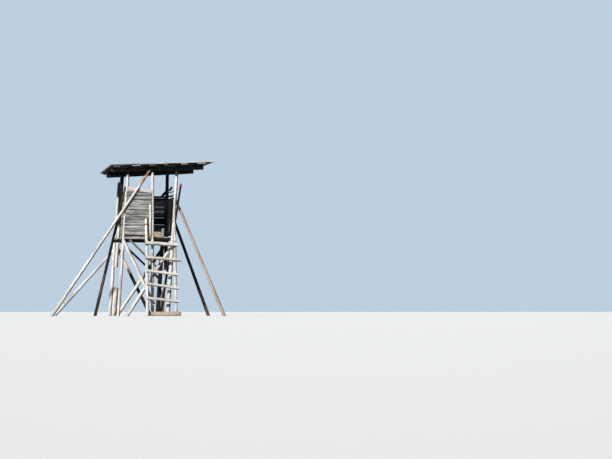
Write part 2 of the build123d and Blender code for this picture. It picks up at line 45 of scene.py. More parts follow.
# Shapes, in metres
REACH = 0.3             # a log's surface is never further from its middle
LOG_PITCH = 0.015       # between the rings of a log
LOG_SIDES = 18
LOG_ROUGH = 0.0016      # swell of its skin
GROOVE = 0.0026         # half the width of a drying crack
GROOVE_DEPTH = 0.011
GROOVE_FADE = 0.15      # at both ends of a drying crack
SPACING = 0.93          # of two drying cracks, with 1 for opposite sides
SOUND_FROM = 0.07       # lower than this a log keeps the outline that it has here
SPARE_FOOT = 0.10       # grown below the ground, then sawn off level
ROUND_EDGE = 0.0022     # of a board
CUP = 0.0015            # how far a board bends across
RAGGED_END = 0.006
NAIL_SIDES = 8
NAIL_SIZE = 0.0042      # half the width of its head
NAIL_RINGS = ((-0.002, 1.0), (0.0006, 1.0), (0.0014, 0.7))      # level and spread
NAIL_TOP = 0.0017
RUNG_NAIL = 0.0055
NAIL_SUNK = 0.0015      # in the roof, so that no head stands above it
STICK_SIDES = 16
WIRE_SIDES = 8
WIRE_RADIUS = 0.0045
COIL_STEPS = 12         # in one turn of wire
COIL_TURNS = 3
COIL_RISE = 0.0085      # in one turn of wire
COIL_START = -0.013     # along the rail
COIL_GAP = 0.0035       # between the rail and the middle of the wire

# Looks
SHADE_SIDE = (0.80, -0.05, -0.60)    # the way that the side of a log with painted shade faces
RING_WAVES = 1450.0                 # growth rings, in radians a metre
SAW_WAVES = 900.0                   # saw marks, in radians a metre
FLOOR_HALF = 160
FLOOR_GLOW = 0.55                   # makes the floor pale to the eye, and lights nothing
FILL = 0.05                         # light from the sky all round


def put(name, data):
    """An object for a mesh, lamp or camera, in the scene."""
    obj = bpy.data.objects.new(name, data)
    bpy.context.scene.collection.objects.link(obj)
    return obj


def anywhere(dice):
    """A far start for the noise of a piece, so that no two are alike."""
    return Vector((dice.uniform(-40, 40), dice.uniform(-40, 40), dice.uniform(-40, 40)))


# Node trees
class Tree:
    """Short names for building a material's nodes."""

    def __init__(self, name):
        self.material = bpy.data.materials.new(name)
        self.material.use_nodes = True
        self.tree = self.material.node_tree
        self.tree.nodes.clear()
        self.out = self.tree.nodes.new("ShaderNodeOutputMaterial")
        self.shader = self.tree.nodes.new("ShaderNodeBsdfPrincipled")
        self.tree.links.new(self.shader.outputs[0], self.out.inputs["Surface"])

    def node(self, kind, **settings):
        made = self.tree.nodes.new("ShaderNode" + kind)
        for key, value in settings.items():
            setattr(made, key, value)
        return made

    def feed(self, socket, value):
        if isinstance(value, bpy.types.NodeSocket):
            self.tree.links.new(value, socket)
        else:
            socket.default_value = value

    def math(self, operation, first, second=0.0, third=0.0, clamp=False):
        made = self.node("Math", operation=operation, use_clamp=clamp)
        for socket, value in zip(made.inputs, (first, second, third)):
            self.feed(socket, value)
        return made.outputs[0]

    def attribute(self, name, vector=False):
        made = self.node("Attribute", attribute_name=name)
        return made.outputs["Vector" if vector else "Fac"]

    def part(self, vector, axis):
        made = self.node("SeparateXYZ")
        self.feed(made.inputs[0], vector)
        return made.outputs[axis]

    def vector(self, operation, first, second, output="Vector"):
        made = self.node("VectorMath", operation=operation)
        self.feed(made.inputs[0], first)
        self.feed(made.inputs[1], second)
        return made.outputs[output]

    def noise(self, vector, scale, detail, roughness, distortion=0.0):
        made = self.node("TexNoise")
        self.feed(made.inputs["Vector"], self.vector("MULTIPLY", vector, scale))
        for key, value in (("Scale", 1.0), ("Detail", detail), ("Roughness", roughness),
                           ("Distortion", distortion)):
            made.inputs[key].default_value = value
        return made.outputs["Fac"]

    def cells(self, vector, scale, feature):
        made = self.node("TexVoronoi", feature=feature)
        self.feed(made.inputs["Vector"], self.vector("MULTIPLY", vector, scale))
        made.inputs["Scale"].default_value = 1.0
        return made.outputs["Distance"]

    def between(self, value, low, high, to_low=0.0, to_high=1.0):
        made = self.node("MapRange", interpolation_type="SMOOTHSTEP")
        for socket, number in zip(made.inputs, (value, low, high, to_low, to_high)):
            self.feed(socket, number)
        return made.outputs[0]

    def ramp(self, value, stops):
        made = self.node("ValToRGB")
        band = made.color_ramp
        while len(band.elements) < len(stops):
            band.elements.new(0.5)
        for element, (place, colour) in zip(band.elements, stops):
            element.position = place
            element.color = (*colour, 1.0)
        self.feed(made.inputs[0], value)
        return made.outputs[0]

    def mix(self, share, first, second, blend="MIX"):
        made = self.node("Mix", data_type="RGBA", blend_type=blend)
        self.feed(made.inputs["Factor"], share)
        for socket, value in zip((made.inputs[6], made.inputs[7]), (first, second)):
            if not isinstance(value, bpy.types.NodeSocket):
                value = (*value, 1.0)
            self.feed(socket, value)
        return made.outputs[2]

    def darker(self, share, colour, tone):
        """The colour, and by a share the colour times a tone."""
        return self.mix(share, colour, self.mix(1.0, colour, tone, "MULTIPLY"))

    def cracks(self, grain, scale, bend, near, far, strength, slow, low):
        """Thin lines along the grain where the slow noise lets them, and the modelled cracks."""
        line = self.noise(grain, scale, 2, 0.5, bend)
        off = self.math("ABSOLUTE", self.math("SUBTRACT", line, 0.5))
        split = self.math("MULTIPLY", self.between(off, near, far, strength, 0.0),
                          self.between(slow, low, low + 0.10))
        return self.math("MAXIMUM", split, self.attribute("crack"))

    def finish(self, colour, height, roughness, depth, specular=0.25):
        """The colour, a bump from the height, and how dull it is."""
        bump = self.node("Bump")
        bump.inputs["Strength"].default_value = 1.0
        bump.inputs["Distance"].default_value = depth
        self.feed(bump.inputs["Height"], height)
        self.feed(self.shader.inputs["Base Color"], colour)
        self.feed(self.shader.inputs["Normal"], bump.outputs[0])
        self.feed(self.shader.inputs["Roughness"], roughness)
        self.shader.inputs["Specular IOR Level"].default_value = specular
        return self.material


def srgb(red, green, blue):
    """A colour given as 0-255 display values, in scene-linear light."""
    out = []
    for value in (red, green, blue):
        share = value / 255
        out.append(share / 12.92 if share <= 0.04045 else ((share + 0.055) / 1.055) ** 2.4)
    return tuple(out)


def end_grain(t, slow, light):
    """Growth rings and radial cracks on the sawn end of a log."""
    section = t.attribute("section", vector=True)
    x, y = t.part(section, 0), t.part(section, 1)
    wide = t.math("SQRT", t.math("ADD", t.math("MULTIPLY", x, x), t.math("MULTIPLY", y, y)))
    wave = t.math("SINE", t.math("ADD", t.math("MULTIPLY", wide, RING_WAVES),
                                 t.math("MULTIPLY", slow, 9.0)))
    end = t.mix(t.between(wave, -0.7, 0.9), srgb(96, 82, 68), srgb(168, 150, 128))
    spokes = t.math("ADD", t.math("MULTIPLY", t.math("ARCTAN2", y, x), 3.0),
                    t.math("MULTIPLY", slow, 8.0))
    spoke = t.math("ABSOLUTE", t.math("SINE", spokes))
    end = t.mix(t.between(spoke, 0.02, 0.10, 0.9, 0.0), end, srgb(38, 30, 24))
    return t.mix(1.0, end, (light, light, light), "MULTIPLY")


def log_wood(name, stops, streak=0.48, blotch=srgb(120, 96, 74), blotches=0.35, ends=1.0,
             back=None, side_shade=0.85):
    """Dry round wood: long streaks, drying cracks, knots, painted shade on the side turned right
    and down, end grain on the caps.

    The stops run from the foot to the head, or from left to right; back colours the rear."""
    t = Tree(name)
    grain = t.attribute("grain", vector=True)
    facing = t.node("TexCoord").outputs["Normal"]
    base = t.ramp(t.attribute("along"), stops)
    slow = t.noise(grain, (7, 7, 1.6), 3, 0.6)
    if back:
        rearward = t.math("MULTIPLY_ADD", slow, 0.5, t.part(facing, 1))
        base = t.mix(t.between(rearward, 0.25, 0.75), base, back)
    long_streak = t.noise(grain, (46, 46, 1.9), 5, 0.62, 0.4)
    fine = t.noise(grain, (210, 210, 6.0), 3, 0.6)
    colour = t.darker(t.between(long_streak, 0.42, 0.66, 0.0, streak), base, (0.30, 0.285, 0.27))
    colour = t.mix(t.between(slow, 0.50, 0.68, 0.0, blotches), colour, blotch)
    colour = t.darker(t.between(fine, 0.30, 0.62, 0.42, 0.0), colour, (0.40, 0.38, 0.36))
    # painted shade: the side of the log turned right and down is darkened, standing for the sun's
    # shade
    shade_facing = t.math("MULTIPLY_ADD", slow, 0.3, t.vector("DOT_PRODUCT", facing, SHADE_SIDE, "Value"))
    colour = t.darker(t.between(shade_facing, 0.26, 0.60, 0.0, side_shade), colour, (0.20, 0.18, 0.16))
    opened = t.cracks(grain, (74, 74, 0.9), 0.6, 0.004, 0.016, 0.8, slow, 0.42)
    colour = t.mix(opened, colour, srgb(34, 27, 22))
    knot = t.attribute("knot")
    rings = t.math("SINE", t.math("MULTIPLY", knot, 26.0))
    knot_tone = t.mix(t.between(rings, -0.6, 0.8), srgb(58, 40, 28), srgb(96, 68, 46))
    colour = t.mix(t.between(knot, 0.45, 0.75, 0.0, 0.9), colour, knot_tone)
    cap = t.between(t.attribute("cap"), 0.4, 0.6)
    colour = t.mix(cap, colour, end_grain(t, slow, ends))
    height = t.math("MULTIPLY_ADD", long_streak, -0.9, t.math("MULTIPLY", fine, 0.35))
    height = t.math("SUBTRACT", height, t.math("MULTIPLY", opened, 1.4))
    return t.finish(colour, height, t.between(fine, 0.2, 0.8, 0.95, 0.78), 0.0022)


def bark_wood(name, stops):
    """Round wood with its bark on: scaly, broken into plates, with bare streaks."""
    t = Tree(name)
    grain = t.attribute("grain", vector=True)
    base = t.ramp(t.attribute("along"), stops)
    edge = t.between(t.cells(grain, (52, 52, 15), "DISTANCE_TO_EDGE"), 0.02, 0.20)
    rough = t.noise(grain, (120, 120, 40), 5, 0.65)
    slow = t.noise(grain, (9, 9, 1.3), 3, 0.6)
    colour = t.mix(t.math("SUBTRACT", 1.0, edge, clamp=True), base, srgb(20, 15, 12))
    flaked = t.mix(1.0, base, (2.1, 1.9, 1.7), "MULTIPLY")
    colour = t.mix(t.between(rough, 0.42, 0.7, 0.0, 0.7), colour, flaked)
    colour = t.mix(t.between(slow, 0.60, 0.66, 0.0, 0.85), colour, srgb(112, 100, 80))
    colour = t.mix(t.attribute("crack"), colour, srgb(20, 16, 12))
    colour = t.mix(t.between(t.attribute("cap"), 0.4, 0.6), colour, srgb(150, 126, 98))
    height = t.math("ADD", t.math("MULTIPLY", edge, 0.8), t.math("MULTIPLY", rough, 0.6))
    return t.finish(colour, height, 0.92, 0.005, 0.15)


def board_wood(name, light, dark, stain=srgb(92, 70, 52), stains=0.3, edge=0.0, upper=None,
               end=None, cream=None, crown=None, outside=None, top=None, shine=None):
    """Rough-sawn boards gone grey: a tone for each board, grain, knots, saw marks, stains.

    edge is how dark the long edges are; upper colours them over their lowest part with a
    painted highlight, from left to right, and top the upper face; end is for sawn ends, cream
    paints sunlight on boards with a tone over 1.5; crown is a level, its fall to the right and
    the painted highlight above it; outside is an axis and two colours for the faces turned that
    way; shine is for bleached streaks."""
    t = Tree(name)
    grain = t.attribute("grain", vector=True)
    tone = t.attribute("tone")
    spot = t.cells(grain, (9, 0.5, 2.6), "F1")
    pull = t.node("CombineXYZ")
    t.feed(pull.inputs[0], t.between(spot, 0.0, 0.42, 0.030, 0.0))
    bent = t.vector("ADD", grain, pull.outputs[0])
    slow = t.noise(grain, (6, 6, 2.2), 3, 0.6)
    flame = t.noise(bent, (38, 38, 1.5), 5, 0.6, 0.3)
    fine = t.noise(bent, (240, 240, 5.0), 3, 0.6)
    banded = t.between(flame, 0.36, 0.64)
    colour = t.mix(banded, light, dark)
    facing = t.node("TexCoord").outputs["Normal"]
    if outside:
        axis, weathered, worn = outside
        colour = t.mix(t.between(t.part(facing, axis), 0.3, 0.7), colour,
                       t.mix(banded, weathered, worn))
    colour = t.darker(t.between(tone, 0.0, 1.0, 0.85, 0.0), colour, (0.36, 0.36, 0.37))
    if shine:
        glint = t.noise(grain, (26, 26, 1.1), 3, 0.55)
        colour = t.mix(t.between(glint, 0.56, 0.66, 0.0, 0.85), colour, shine)
        colour = t.darker(t.between(glint, 0.34, 0.43, 0.75, 0.0), colour, (0.34, 0.34, 0.34))
    # painted light: boards with a tone over 1.5 turn cream, a pool of sunlight painted on them
    if cream:
        colour = t.mix(t.between(tone, 1.4, 1.6), colour, cream)
    level = t.part(t.attribute("section", vector=True), 1)
    # painted highlight on the edges of the roof boards, brightening to the right; the upper face
    # takes top
    if upper:
        colour = t.mix(t.between(level, -0.0125, -0.0090), colour,
                       t.ramp(t.attribute("along"), upper))
        colour = t.mix(t.between(t.part(facing, 2), 0.5, 0.8), colour, t.mix(banded, *top))
    colour = t.darker(t.between(fine, 0.34, 0.60, 0.5, 0.0), colour, (0.34, 0.33, 0.32))
    colour = t.mix(t.between(slow, 0.53, 0.70, 0.0, stains), colour, stain)
    opened = t.cracks(bent, (60, 60, 0.8), 0.5, 0.003, 0.013, 0.9, slow, 0.44)
    colour = t.mix(opened, colour, srgb(28, 24, 21))
    if edge:
        worn = t.math("MULTIPLY", t.between(t.attribute("edge"), 0.15, 0.95),
                      t.between(t.noise(grain, (9, 9, 3.2), 3, 0.6), 0.40, 0.58, 0.15, edge))
        colour = t.mix(worn, colour, srgb(26, 25, 25))
    knot = t.between(spot, 0.055, 0.10, 1.0, 0.0)
    eye = t.mix(t.between(t.math("SINE", t.math("MULTIPLY", spot, 190.0)), -0.5, 0.8),
                srgb(50, 38, 30), srgb(92, 74, 58))
    colour = t.mix(t.math("MULTIPLY", knot, 0.85), colour, eye)
    # painted highlight: the colour above the sloping crown line at the wall's top
    if crown:
        place = t.node("TexCoord").outputs["Object"]
        start, fall, tint = crown
        above = t.math("MULTIPLY_ADD", t.part(place, 0), fall, t.part(place, 2))
        above = t.math("MULTIPLY_ADD", slow, 0.03, above)
        colour = t.mix(t.between(above, start, start + 0.012), colour, tint)
    if end:
        worn_end = t.mix(t.between(tone, 0.3, 1.0, 0.80, 0.0), end, srgb(70, 72, 64))
        worn_end = t.mix(t.between(fine, 0.35, 0.60, 0.6, 0.0), worn_end, srgb(64, 62, 54))
        shown = t.between(t.attribute("cap"), 0.3, 0.6)
        if not upper:
            shown = t.math("MULTIPLY", shown, t.between(level, -0.002, 0.004, 1.0, 0.1))
        colour = t.mix(shown, colour, worn_end)
    saw = t.math("SINE", t.math("MULTIPLY", t.part(grain, 2), SAW_WAVES))
    height = t.math("MULTIPLY_ADD", flame, -0.8, t.math("MULTIPLY", fine, 0.4))
    height = t.math("SUBTRACT", height, t.math("MULTIPLY", opened, 1.6))
    height = t.math("MULTIPLY_ADD", saw, 0.06, height)
    return t.finish(colour, height, t.between(fine, 0.2, 0.8, 0.95, 0.80), 0.0020)


def rusty(name):
    """Old nails and wire: brown-black iron with rust."""
    t = Tree(name)
    place = t.node("TexCoord").outputs["Object"]
    spots = t.noise(place, (300, 300, 300), 4, 0.6)
    colour = t.mix(t.between(spots, 0.35, 0.65), srgb(34, 28, 26), srgb(108, 62, 38))
    t.shader.inputs["Metallic"].default_value = 0.35
    return t.finish(colour, spots, 0.75, 0.0006, 0.4)


# Reading the frame
def tri_mesh(obj):
    """Vertices and triangles of a node."""
    mesh = obj.data
    mesh.calc_loop_triangles()
    points = np.empty(len(mesh.vertices) * 3, np.float32)
    mesh.vertices.foreach_get("co", points)
    corners = np.empty(len(mesh.loop_triangles) * 3, np.int32)
    mesh.loop_triangles.foreach_get("vertices", corners)
    return points.reshape(-1, 3).astype(float), corners.reshape(-1, 3)


def face_normals(spots):
    """Normals of triangles, and their lengths, which are twice the areas."""
    normals = np.cross(spots[:, 1] - spots[:, 0], spots[:, 2] - spots[:, 0])
    return normals, np.linalg.norm(normals, axis=1)


def axis_of(points, corners):
    """Middle and direction of a long piece, weighed by its surface."""
    spots = points[corners]
    middles = spots.mean(1)
    _, weights = face_normals(spots)
    centre = (middles * weights[:, None]).sum(0) / weights.sum()
    apart = middles - centre
    _, vectors = np.linalg.eigh((apart * weights[:, None]).T @ apart)
    way = vectors[:, 2]
    if (abs(way[2]) > 0.2 and way[2] < 0) or (abs(way[2]) <= 0.2 and way[0] < 0):
        way = -way
    return Vector(centre), Vector(way)


def islands(points, corners):
    """The separate solids of a node, as arrays of triangle indices."""
    keys = {}
    same = np.empty(len(points), int)
    for index, point in enumerate(np.round(points, 5)):
        same[index] = keys.setdefault(tuple(point), index)
    parent = {}

    def root(item):
        while parent.setdefault(item, item) != item:
            parent[item] = parent[parent[item]]
            item = parent[item]
        return item

    for a, b, c in same[corners]:
        parent[root(a)] = root(b)
        parent[root(c)] = root(b)
    groups = {}
    for number, triangle in enumerate(same[corners]):
        groups.setdefault(root(triangle[0]), []).append(number)
    return [np.array(members) for members in groups.values()]


# Making pieces
def tube(name, rings, marks, closed_ends=(True, True)):
    """A mesh of rings of points with caps; marks holds named values for every point."""
    count = len(rings[0])
    points = [point for ring in rings for point in ring]
    faces = []
    for row in range(len(rings) - 1):
        low, high = row * count, (row + 1) * count
        for k in range(count):
            following = (k + 1) % count
            faces.append((low + k, low + following, high + following, high + k))
    extra = {key: [value for ring in values for value in ring] for key, values in marks.items()}
    for at_end, row in ((0, 0), (1, len(rings) - 1)):
        if not closed_ends[at_end]:
            continue
        first = row * count
        centre = sum((Vector(points[first + k]) for k in range(count)), Vector()) / count
        inner = []
        for k in range(count):
            inner.append(len(points))
            points.append(Vector(points[first + k]).lerp(centre, 0.09))
            for values in extra.values():
                values.append(values[first + k])
            extra["cap"][-1] = 1.0
        hub = len(points)
        points.append(centre)
        for values in extra.values():
            mean = np.mean(values[first:first + count], axis=0)
            values.append(tuple(mean) if mean.ndim else float(mean))
        extra["cap"][-1] = 1.0
        for k in range(count):
            following = (k + 1) % count
            outer_a, outer_b = first + k, first + following
            if at_end:
                faces.append((outer_a, outer_b, inner[following], inner[k]))
                faces.append((inner[k], inner[following], hub))
            else:
                faces.append((outer_b, outer_a, inner[k], inner[following]))
                faces.append((inner[following], inner[k], hub))
    mesh = bpy.data.meshes.new(name)
    mesh.from_pydata([tuple(point) for point in points], [], faces)
    for key, values in extra.items():
        kind, field = (("FLOAT_VECTOR", "vector") if isinstance(values[0], tuple)
                       else ("FLOAT", "value"))
        layer = mesh.attributes.new(key, kind, "POINT")
        layer.data.foreach_set(field, np.array(values, np.float32).ravel())
    mesh.shade_smooth()
    return put(name, mesh)


def note(marks, count, **values):
    """Add a ring's values to the marks: a list, or one value for all its points."""
    for key, value in values.items():
        marks.setdefault(key, []).append(value if isinstance(value, list) else [value] * count)


def saw_level(obj, spot, normal):
    """Cut a piece by a plane, keep the side that the normal points to, and close the cut."""
    work = bmesh.new()
    work.from_mesh(obj.data)
    cut = bmesh.ops.bisect_plane(
        work, geom=work.verts[:] + work.edges[:] + work.faces[:], dist=1e-6,
        plane_co=spot, plane_no=normal, clear_inner=True)
    rim = [item for item in cut["geom_cut"] if isinstance(item, bmesh.types.BMEdge)]
    bmesh.ops.holes_fill(work, edges=rim)
    bmesh.ops.triangulate(work, faces=[face for face in work.faces if len(face.verts) > 4])
    work.to_mesh(obj.data)
    work.free()


def smooth(value):
    value = max(0.0, min(1.0, value))
    return value * value * (3 - 2 * value)


def log_stations(low, high, on_ground):
    """Places of the rings along a log, closer together at its ends."""
    stations = [high - gap for gap in (0.0006, 0.003, 0.007, 0.013, 0.022)]
    start = low - SPARE_FOOT if on_ground else low + 0.006
    stations += list(np.arange(high - 0.034, start, -LOG_PITCH))
    if not on_ground:
        stations += [low + 0.003, low + 0.0006]
    return sorted(stations)


def log_angles(cracks, width):
    """Angles of a ring's points, three of them at each drying crack, and the cracks' places."""
    angles, grooves = [], []
    for number in range(cracks):
        hub = number * TURN / cracks * SPACING
        grooves.append(len(angles) + 1)
        angles += [hub - width, hub, hub + width]
        upto = (number + 1) * TURN / cracks * (SPACING if number + 1 < cracks else 1)
        steps = max(3, LOG_SIDES // cracks)
        room = upto - width - (hub + width)
        angles += [hub + width + room * (k + 1) / (steps + 1) for k in range(steps)]
    return angles, grooves


def whittle(node, seed, material, knots, cracks):
    """A log with real relief, shaped on the CAD node's own surface and standing for it."""
    dice = random.Random(seed)
    points, corners = tri_mesh(nodes[node])
    centre, way = axis_of(points, corners)
    reach = (points - np.array(centre)) @ np.array(way)
    tree = BVHTree.FromPolygons(points.tolist(), corners.tolist())
    side = way.cross(Vector((0, 1, 0)) if abs(way.y) < 0.9 else Vector((1, 0, 0))).normalized()
    other = way.cross(side).normalized()
    low, high = reach.min(), reach.max()
    length = high - low
    on_ground = points[:, 2].min() < 0.004 and abs(way.z) > 0.2
    sound = (SOUND_FROM - centre.z) / way.z if on_ground else low + 0.0006
    stations = log_stations(low, high, on_ground)
    girth = np.mean([
        (tree.ray_cast(centre + way * (length * share), side, REACH)[3] or 0.03)
        for share in (-0.2, 0.0, 0.2)])
    offsets, grooves = log_angles(cracks, min(0.35, GROOVE / girth))
    twist = dice.uniform(-0.5, 0.5)
    turn = dice.uniform(0, TURN)
    shift = anywhere(dice)
    bumps = [(dice.uniform(low + 0.1, high - 0.08), dice.uniform(0, TURN),
              dice.uniform(0.010, 0.017), dice.uniform(0.003, 0.0065)) for _ in range(knots)]
    spans = [(dice.uniform(low, low + 0.4 * length), dice.uniform(low + 0.6 * length, high + 0.1),
              dice.uniform(0.5, 1.0)) for _ in range(cracks)]
    rings, marks = [], {}
    for station in stations:
        origin = centre + way * max(station, sound)
        wander = turn + twist * station + 0.25 * noise.noise(shift + Vector((station * 1.7, 0, 0)))
        angles = [wander + offset for offset in offsets]
        rays = [side * math.cos(angle) + other * math.sin(angle) for angle in angles]
        hits = [tree.ray_cast(origin, ray, REACH)[3] for ray in rays]
        known = [value for value in hits if value is not None]
        fallback = sum(known) / len(known) if known else girth
        ring, grain, section, crack, knot = [], [], [], [], []
        for k, (angle, ray, hit) in enumerate(zip(angles, rays, hits)):
            c, d = math.cos(angle), math.sin(angle)
            radius = fallback if hit is None else hit
            wave = noise.noise(shift + Vector((c * 1.4, d * 1.4, station * 5)))
            ripple = noise.noise(shift + Vector((c * 5, d * 5, station * 22)))
            radius += LOG_ROUGH * (wave * 1.3 + ripple * 0.7) * min(1.0, radius / 0.02)
            knob = 0.0
            for place, facing, size, rise in bumps:
                turned = (angle - facing + math.pi) % TURN - math.pi
                away = ((station - place) ** 2 + (turned * radius) ** 2) / size ** 2
                if away < 9:
                    radius += rise * math.exp(-away)
                    knob = max(knob, math.exp(-away * 0.8))
            opened = 0.0
            if k in grooves:
                number = grooves.index(k)
                begin, finish, strong = spans[number]
                envelope = (smooth((station - begin) / GROOVE_FADE)
                            * smooth((finish - station) / GROOVE_FADE))
                pulse = 0.6 + 0.4 * noise.noise(shift + Vector((0, station * 4, number)))
                opened = envelope * pulse * strong
                radius -= GROOVE_DEPTH * opened
            ring.append(centre + way * station + ray * radius)
            section.append((radius * c, radius * d, station))
            grain.append((radius * c + shift.x, radius * d + shift.y, station + shift.z))
            crack.append(min(1.0, opened * 1.6))
            knot.append(knob)
        rings.append(ring)
        note(marks, len(ring), grain=grain, section=section, along=(station - low) / length,
             crack=crack, knot=knot, cap=0.0)
    piece = tube(node + "_log", rings, marks, (not on_ground, True))
    if on_ground:
        saw_level(piece, Vector((0, 0, 0)), Vector((0, 0, 1)))
    finish_piece(piece, node, material)
    return centre, way, girth


def dress(piece, material):
    """Face the faces outward; give the material, and hang the piece on the root body."""
    work = bmesh.new()
    work.from_mesh(piece.data)
    bmesh.ops.recalc_face_normals(work, faces=work.faces)
    work.to_mesh(piece.data)
    work.free()
    piece.data.materials.append(material)
    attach(piece, "root")


def finish_piece(piece, node, material):
    """Dress a piece and let it stand for the node."""
    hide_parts(node)
    dress(piece, material)


def plank_frame(points, corners):
    """Middle, length way, width way, thickness way and half sizes of a board."""
    spots = points[corners]
    normals, areas = face_normals(spots)
    biggest = normals[areas.argmax()] / areas.max()
    cloud = points[np.unique(corners)]
    edges = (spots[:, [1, 2, 0]] - spots).reshape(-1, 3)
    edges -= np.outer(edges @ biggest, biggest)
    sizes = np.linalg.norm(edges, axis=1)
    best, way = 1e9, None
    for edge, size in zip(edges, sizes):
        if size < 0.5 * sizes.max():
            continue
        unit = edge / size
        across = np.cross(biggest, unit)
        room = np.ptp(cloud @ unit) * np.ptp(cloud @ across)
        if room < best - 1e-9:
            best, way = room, unit
    across = np.cross(biggest, way)
    if np.ptp(cloud @ across) > np.ptp(cloud @ way):
        way, across = across, way
    if way[np.abs(way).argmax()] < 0:
        way = -way
    normal = np.cross(way, across)
    if normal[2] < -0.5:
        across, normal = -across, -normal
    mids, halves = [], []
    for unit in (way, across, normal):
        line = cloud @ unit
        mids.append((line.max() + line.min()) / 2)
        halves.append((line.max() - line.min()) / 2)
    middle = way * mids[0] + across * mids[1] + normal * mids[2]
    return middle, way, across, normal, halves


def saw_aslant(board, spots, axes):
    """Saw a board where its CAD solid has a slanting end; spots are the solid's triangles."""
    for triangle, face, area in zip(spots, *face_normals(spots)):
        unit = face / max(area, 1e-12)
        slanting = all(abs(abs(unit @ line) - 1) > 0.002 for line in axes)
        upright = abs(unit @ axes[2]) < 0.02
        if area > 0.002 and slanting and upright:
            saw_level(board, Vector(triangle[0]), Vector(-unit))
            break


def plane_board(node, seed, material, pitch=0.02, columns=8, wavy=0.003, tones=(0.2, 1.0),
                tone_list=None, widen=0.0):
    """Boards with wavy edges, ragged ends, cupping and splits, shaped on the CAD node's own.

    They come back as middle, three directions and half sizes each, for the nails."""
    dice = random.Random(seed)
    points, corners = tri_mesh(nodes[node])

    def place_of(members):
        x, _, z = points[corners[members]].mean((0, 1))
        return round(z, 2), x

    groups = sorted(islands(points, corners), key=place_of)
    ring_plan = [(column, 1) for column in range(columns + 1)]
    ring_plan += [(column, -1) for column in range(columns, -1, -1)]
    pieces, boards = [], []
    for number, members in enumerate(groups):
        chosen = corners[members]
        middle, way, across, normal, (half_l, half_w, half_t) = plank_frame(points, chosen)
        shift = anywhere(dice)
        tone = tone_list[number % len(tone_list)] if tone_list else dice.uniform(*tones)
        rows = max(6, int(2 * half_l / pitch))
        soft = min(ROUND_EDGE, 0.3 * half_t)
        split_end = dice.choice((-1, 1))
        split_at = dice.uniform(-0.55, 0.55)
        split_long = dice.uniform(0.12, 0.38)
        split_column = int(round((split_at + 1) / 2 * columns))
        rings, marks = [], {}
        for row in range(rows + 1):
            share = 2 * row / rows - 1
            s = share * half_l
            edge_a = wavy * noise.noise(shift + Vector((s * 5, 0, 0)))
            edge_b = wavy * noise.noise(shift + Vector((s * 5, 9, 0)))
            ring, grain, section, crack, rims = [], [], [], [], []
            for column, face in ring_plan:
                place = 2 * column / columns - 1
                rim = abs(place) == 1
                drift = edge_a if place > 0 else edge_b
                w = place * (half_w + widen - 0.5 * wavy - (soft * 0.4 if rim else 0))
                w += drift * abs(place)
                h = face * (half_t - (soft if rim else 0.0))
                h += CUP * (place * place - 0.4) * math.sin(shift.x)
                h += 0.0007 * noise.noise(shift + Vector((s * 9, w * 30, 0)))
                end = 0.0
                if row in (0, rows):
                    uneven = noise.noise(shift + Vector((w * 60, share * 5, 2)))
                    end = max(0.0, RAGGED_END * (0.5 + uneven))
                deep = 0.0
                if column == split_column and not rim:
                    from_end = half_l - s * split_end
                    deep = smooth(1 - from_end / split_long)
                    h -= face * min(0.007, half_t * 0.6) * deep
                ring.append(Vector(middle + way * (s - math.copysign(end, s))
                                   + across * w + normal * h))
                grain.append((w + shift.x, h + shift.y, s + shift.z))
                section.append((w, h, s))
                crack.append(deep)
                rims.append(1.0 if rim else 0.0)
            rings.append(ring)
            note(marks, len(ring), grain=grain, section=section, along=(share + 1) / 2,
                 crack=crack, tone=tone, edge=rims, cap=0.0)
        piece = tube(f"{node}_{number + 1}", rings, marks)
        saw_aslant(piece, points[chosen], (way, across, normal))
        pieces.append(piece)
        boards.append((middle, way, across, normal, half_l, half_w, half_t))
    join(pieces, node, material)
    return boards


def join(pieces, node, material):
    """One object of many, standing for a node."""
    base = pieces[0]
    bpy.ops.object.select_all(action="DESELECT")
    for piece in pieces:
        piece.select_set(True)
    bpy.context.view_layer.objects.active = base
    if len(pieces) > 1:
        bpy.ops.object.join()
    base.name = node + "_boards"
    finish_piece(base, node, material)


nail_spots = []


def nail(spot, normal, size=NAIL_SIZE):
    """Note a nail, to be driven in with the others."""
    nail_spots.append((Vector(spot), Vector(normal).normalized(), size))


def drive_nails(material):
    """All nail heads as low domes, in one piece."""
    points, faces = [], []
    for spot, normal, size in nail_spots:
        side = normal.orthogonal().normalized()
        other = normal.cross(side)
        first = len(points)
        for level, spread in NAIL_RINGS:
            for k in range(NAIL_SIDES):
                angle = k * TURN / NAIL_SIDES
                points.append(spot + normal * level
                              + (side * math.cos(angle) + other * math.sin(angle))
                              * (size * spread))
        tip = len(points)
        points.append(spot + normal * NAIL_TOP)
        for row in range(len(NAIL_RINGS)):
            start = first + row * NAIL_SIDES
            for k in range(NAIL_SIDES):
                a, b = start + k, start + (k + 1) % NAIL_SIDES
                faces.append((a, b, tip) if row == len(NAIL_RINGS) - 1
                             else (a, b, b + NAIL_SIDES, a + NAIL_SIDES))
    mesh = bpy.data.meshes.new("nail_heads")
    mesh.from_pydata([tuple(point) for point in points], [], faces)
    mesh.shade_smooth()
    mesh.materials.append(material)
    piece = put("nail_heads", mesh)
    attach(piece, "root")


# Tones, light to dark
pale = srgb(247, 244, 239)
soft = srgb(230, 225, 216)
tan = srgb(198, 172, 152)
pink = srgb(210, 184, 170)
orange = srgb(186, 124, 88)
brown = srgb(112, 86, 66)
dark = srgb(44, 40, 36)
ink = srgb(22, 21, 22)
slate = srgb(58, 66, 62)
worn_back = srgb(146, 134, 118)

# Materials of the logs; the places of their tones run from 0 at the foot to 1 at the head
whitish = log_wood("whitish_log", [(0.0, soft), (0.25, pale), (1.0, pale)])


def headed(name, upto):
    """A light post with painted shade on its head, where the roof's shadow falls."""
    return log_wood(name, [(0.0, soft), (0.2, pale), (upto - 0.006, pale), (upto + 0.006, slate),
                           (1.0, slate)], ends=0.4)


